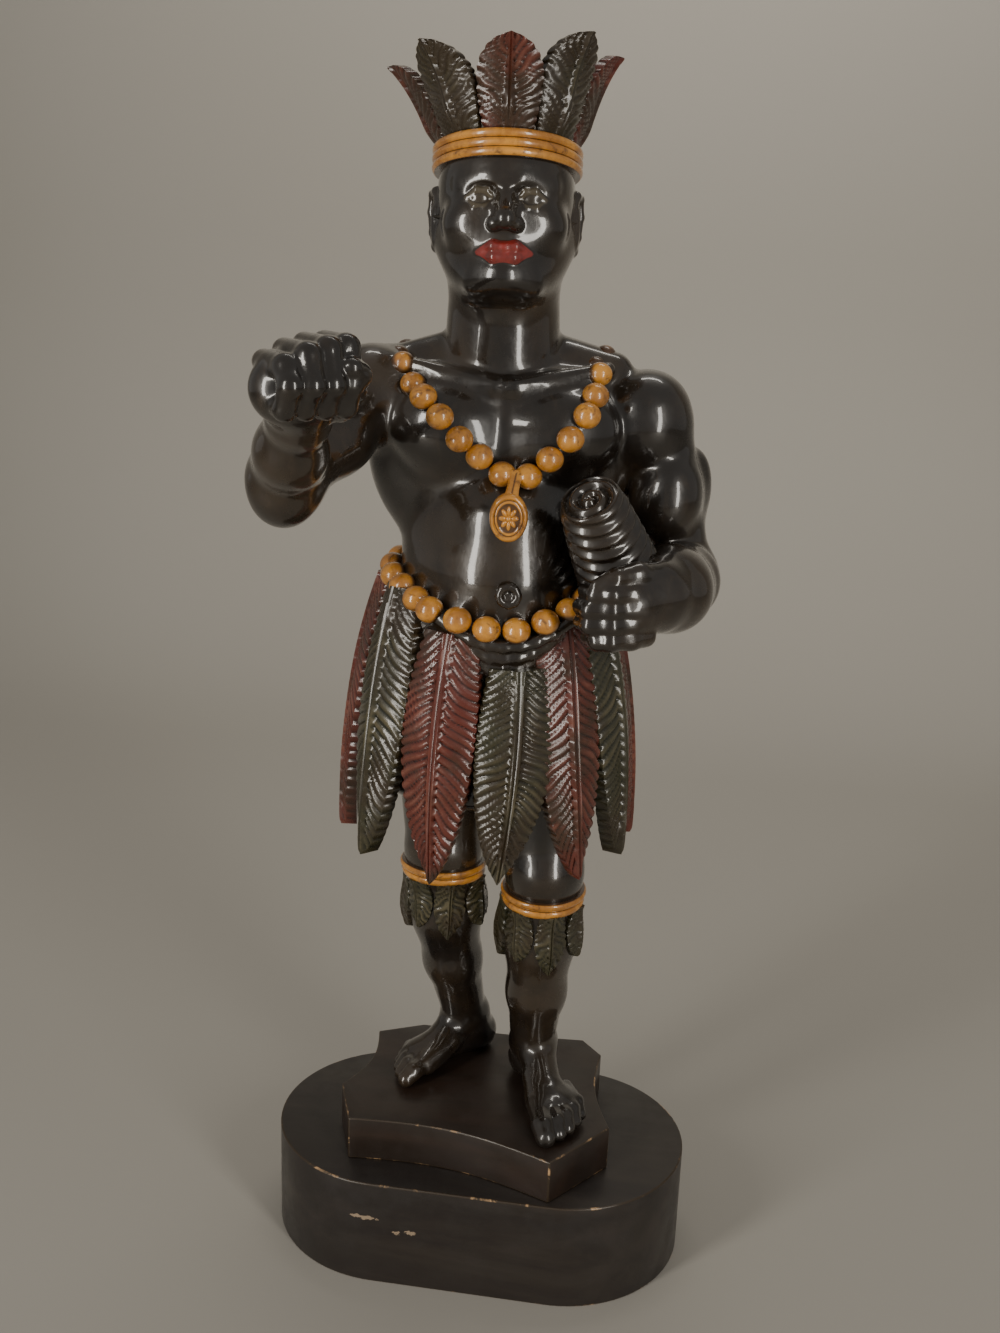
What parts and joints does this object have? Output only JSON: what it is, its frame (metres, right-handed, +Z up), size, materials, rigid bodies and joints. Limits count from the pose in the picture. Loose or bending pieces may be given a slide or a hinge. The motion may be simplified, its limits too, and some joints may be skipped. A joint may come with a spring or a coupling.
{
  "type": "cigar_store_figure",
  "caption": "Carved standing figure for a tobacconist's counter, feather crown and skirt, raised fist and tobacco roll, on a block and a round-ended plinth",
  "frame": {"origin": "middle of the plinth's underside", "axes": "+Z up, +X along the plinth's long side to the viewer's right, -Y towards the viewer in front"},
  "size_m": [0.416, 0.4263, 1.1537],
  "materials": {
    "ebonised_wood": "gloss",
    "oxblood_paint": "gloss",
    "green_paint": "gloss",
    "ochre_paint": "satin",
    "block_wood": "satin",
    "plinth_wood": "satin"
  },
  "bodies": {
    "root": {"figure": "ebonised_wood", "base_block": "block_wood", "plinth": "plinth_wood"}
  },
  "joints": []
}
